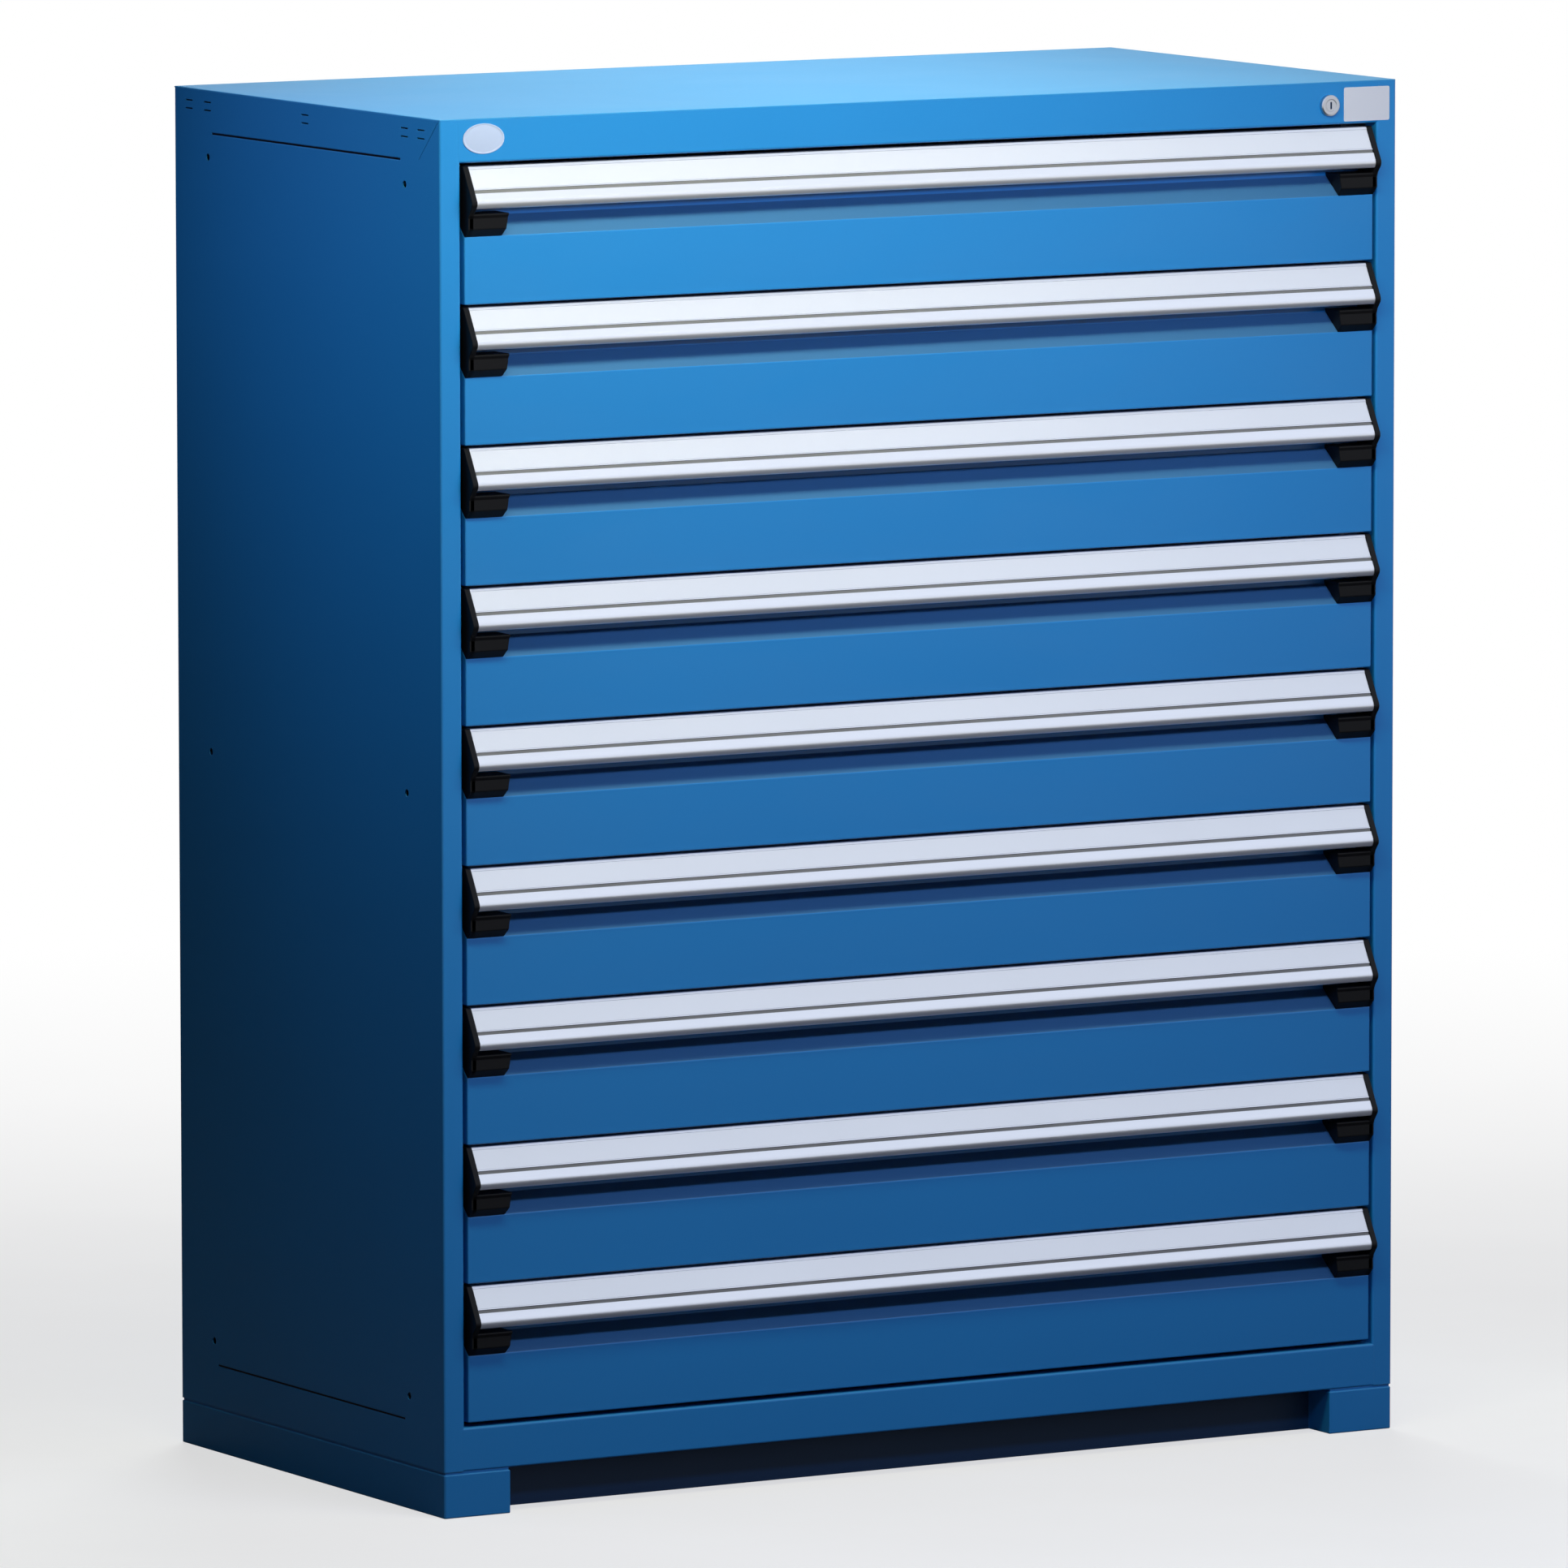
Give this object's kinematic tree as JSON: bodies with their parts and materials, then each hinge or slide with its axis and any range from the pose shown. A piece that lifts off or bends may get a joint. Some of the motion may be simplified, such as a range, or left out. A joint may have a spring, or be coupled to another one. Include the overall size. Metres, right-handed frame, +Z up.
{
  "type": "modular drawer cabinet",
  "caption": "Tall steel cabinet on a recessed base with equal full-width drawers on telescopic slides, aluminium pull handles with end caps, and one key lock.",
  "frame": {"origin": "on the floor, under the middle of the whole cabinet with its handles", "axes": "+Z up, +X to the right seen from the front, +Y to the back; the drawers open towards -Y"},
  "size_m": [1.2192, 0.6278, 1.524],
  "materials": {
    "housing_paint": "satin powder coat, blue",
    "base_paint": "satin powder coat, blue",
    "drawer_paint": "satin powder coat, blue",
    "tray_paint": "satin powder coat, light grey",
    "slide_steel": "zinc-plated steel",
    "carriage_steel": "zinc-plated steel",
    "lock_metal": "satin nickel plate",
    "handle_aluminium": "satin anodised extrusion",
    "cap_plastic": "black moulded plastic"
  },
  "bodies": {
    "cabinet": {"side_panel_left": "housing_paint", "side_panel_right": "housing_paint", "back_panel": "housing_paint", "top_panel": "housing_paint", "bottom_panel": "housing_paint", "header_rail": "housing_paint", "sill_rail": "housing_paint", "uprights": "slide_steel", "fixed_rails": "slide_steel", "base_frame": "base_paint", "lock_barrel": "lock_metal"},
    "lock": {"lock_plug": "lock_metal", "lock_cam": "slide_steel"},
    "lock_bar": {"lock_bar": "slide_steel"},
    "drawer_1": {"drawer_1_tray": "tray_paint", "drawer_1_front": "drawer_paint", "drawer_1_handle": "handle_aluminium", "drawer_1_end_caps": "cap_plastic"},
    "carriage_1": {"carriage_1": "carriage_steel"},
    "drawer_2": {"drawer_2_tray": "tray_paint", "drawer_2_front": "drawer_paint", "drawer_2_handle": "handle_aluminium", "drawer_2_end_caps": "cap_plastic"},
    "carriage_2": {"carriage_2": "carriage_steel"},
    "drawer_3": {"drawer_3_tray": "tray_paint", "drawer_3_front": "drawer_paint", "drawer_3_handle": "handle_aluminium", "drawer_3_end_caps": "cap_plastic"},
    "carriage_3": {"carriage_3": "carriage_steel"},
    "drawer_4": {"drawer_4_tray": "tray_paint", "drawer_4_front": "drawer_paint", "drawer_4_handle": "handle_aluminium", "drawer_4_end_caps": "cap_plastic"},
    "carriage_4": {"carriage_4": "carriage_steel"},
    "drawer_5": {"drawer_5_tray": "tray_paint", "drawer_5_front": "drawer_paint", "drawer_5_handle": "handle_aluminium", "drawer_5_end_caps": "cap_plastic"},
    "carriage_5": {"carriage_5": "carriage_steel"},
    "drawer_6": {"drawer_6_tray": "tray_paint", "drawer_6_front": "drawer_paint", "drawer_6_handle": "handle_aluminium", "drawer_6_end_caps": "cap_plastic"},
    "carriage_6": {"carriage_6": "carriage_steel"},
    "drawer_7": {"drawer_7_tray": "tray_paint", "drawer_7_front": "drawer_paint", "drawer_7_handle": "handle_aluminium", "drawer_7_end_caps": "cap_plastic"},
    "carriage_7": {"carriage_7": "carriage_steel"},
    "drawer_8": {"drawer_8_tray": "tray_paint", "drawer_8_front": "drawer_paint", "drawer_8_handle": "handle_aluminium", "drawer_8_end_caps": "cap_plastic"},
    "carriage_8": {"carriage_8": "carriage_steel"},
    "drawer_9": {"drawer_9_tray": "tray_paint", "drawer_9_front": "drawer_paint", "drawer_9_handle": "handle_aluminium", "drawer_9_end_caps": "cap_plastic"},
    "carriage_9": {"carriage_9": "carriage_steel"}
  },
  "joints": [
    {"name": "drawer_1_slide", "type": "slide", "parent": "cabinet", "child": "drawer_1", "axis": [0, -1, 0], "range_m": [0, 0.545]},
    {"name": "carriage_1_slide", "type": "slide", "parent": "cabinet", "child": "carriage_1", "axis": [0, -1, 0], "range_m": [0, 0.2725]},
    {"name": "drawer_2_slide", "type": "slide", "parent": "cabinet", "child": "drawer_2", "axis": [0, -1, 0], "range_m": [0, 0.545]},
    {"name": "carriage_2_slide", "type": "slide", "parent": "cabinet", "child": "carriage_2", "axis": [0, -1, 0], "range_m": [0, 0.2725]},
    {"name": "drawer_3_slide", "type": "slide", "parent": "cabinet", "child": "drawer_3", "axis": [0, -1, 0], "range_m": [0, 0.545]},
    {"name": "carriage_3_slide", "type": "slide", "parent": "cabinet", "child": "carriage_3", "axis": [0, -1, 0], "range_m": [0, 0.2725]},
    {"name": "drawer_4_slide", "type": "slide", "parent": "cabinet", "child": "drawer_4", "axis": [0, -1, 0], "range_m": [0, 0.545]},
    {"name": "carriage_4_slide", "type": "slide", "parent": "cabinet", "child": "carriage_4", "axis": [0, -1, 0], "range_m": [0, 0.2725]},
    {"name": "drawer_5_slide", "type": "slide", "parent": "cabinet", "child": "drawer_5", "axis": [0, -1, 0], "range_m": [0, 0.545]},
    {"name": "carriage_5_slide", "type": "slide", "parent": "cabinet", "child": "carriage_5", "axis": [0, -1, 0], "range_m": [0, 0.2725]},
    {"name": "drawer_6_slide", "type": "slide", "parent": "cabinet", "child": "drawer_6", "axis": [0, -1, 0], "range_m": [0, 0.545]},
    {"name": "carriage_6_slide", "type": "slide", "parent": "cabinet", "child": "carriage_6", "axis": [0, -1, 0], "range_m": [0, 0.2725]},
    {"name": "drawer_7_slide", "type": "slide", "parent": "cabinet", "child": "drawer_7", "axis": [0, -1, 0], "range_m": [0, 0.545]},
    {"name": "carriage_7_slide", "type": "slide", "parent": "cabinet", "child": "carriage_7", "axis": [0, -1, 0], "range_m": [0, 0.2725]},
    {"name": "drawer_8_slide", "type": "slide", "parent": "cabinet", "child": "drawer_8", "axis": [0, -1, 0], "range_m": [0, 0.545]},
    {"name": "carriage_8_slide", "type": "slide", "parent": "cabinet", "child": "carriage_8", "axis": [0, -1, 0], "range_m": [0, 0.2725]},
    {"name": "drawer_9_slide", "type": "slide", "parent": "cabinet", "child": "drawer_9", "axis": [0, -1, 0], "range_m": [0, 0.545]},
    {"name": "carriage_9_slide", "type": "slide", "parent": "cabinet", "child": "carriage_9", "axis": [0, -1, 0], "range_m": [0, 0.2725]},
    {"name": "lock_turn", "type": "hinge", "parent": "cabinet", "child": "lock", "pos_m": [0.5204, -0.29572, 1.498], "axis": [0, 1, 0], "range_deg": [0, 90]},
    {"name": "lock_bar_lift", "type": "slide", "parent": "cabinet", "child": "lock_bar", "axis": [0, 0, 1], "range_m": [0, 0.01414]}
  ],
  "couplings": [
    {"joint": "carriage_1_slide", "follows": "drawer_1_slide", "ratio": 0.5},
    {"joint": "carriage_2_slide", "follows": "drawer_2_slide", "ratio": 0.5},
    {"joint": "carriage_3_slide", "follows": "drawer_3_slide", "ratio": 0.5},
    {"joint": "carriage_4_slide", "follows": "drawer_4_slide", "ratio": 0.5},
    {"joint": "carriage_5_slide", "follows": "drawer_5_slide", "ratio": 0.5},
    {"joint": "carriage_6_slide", "follows": "drawer_6_slide", "ratio": 0.5},
    {"joint": "carriage_7_slide", "follows": "drawer_7_slide", "ratio": 0.5},
    {"joint": "carriage_8_slide", "follows": "drawer_8_slide", "ratio": 0.5},
    {"joint": "carriage_9_slide", "follows": "drawer_9_slide", "ratio": 0.5},
    {"joint": "lock_turn", "follows": "lock_bar_lift", "rad_per_m": 111.07}
  ]
}
